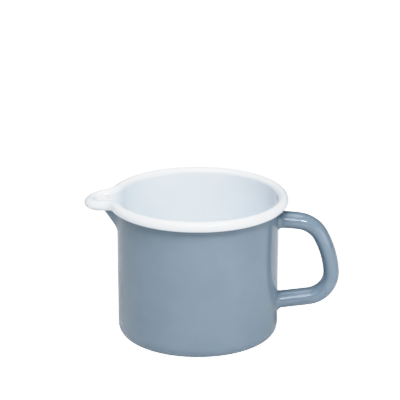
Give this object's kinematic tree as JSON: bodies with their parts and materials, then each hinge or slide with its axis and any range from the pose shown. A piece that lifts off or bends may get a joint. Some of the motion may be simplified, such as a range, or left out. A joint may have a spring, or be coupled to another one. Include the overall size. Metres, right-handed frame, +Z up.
{
  "type": "enamelled milk pot",
  "caption": "Small enamelled steel milk pot with a rolled white rim, a pinched pouring spout and a hollow D-shaped handle.",
  "frame": {"origin": "on the pot's axis, on the flat underside it stands on", "axes": "+Z up; +X towards the handle; the spout points along -X; the XZ plane is the mirror plane"},
  "size_m": [0.1419, 0.1002, 0.0812],
  "materials": {
    "steel": "deep-drawing sheet steel, hidden under the enamel",
    "white_enamel": "glossy white vitreous enamel",
    "grey_blue_enamel": "glossy grey-blue vitreous enamel"
  },
  "bodies": {
    "root": {"steel_pot_shell": "steel", "white_enamel_lining": "white_enamel", "grey_blue_enamel_coat": "grey_blue_enamel", "handle_left_half_shell": "steel", "handle_right_half_shell": "steel", "handle_enamel_coat": "grey_blue_enamel", "upper_handle_weld": "grey_blue_enamel", "lower_handle_weld": "grey_blue_enamel"}
  },
  "joints": []
}
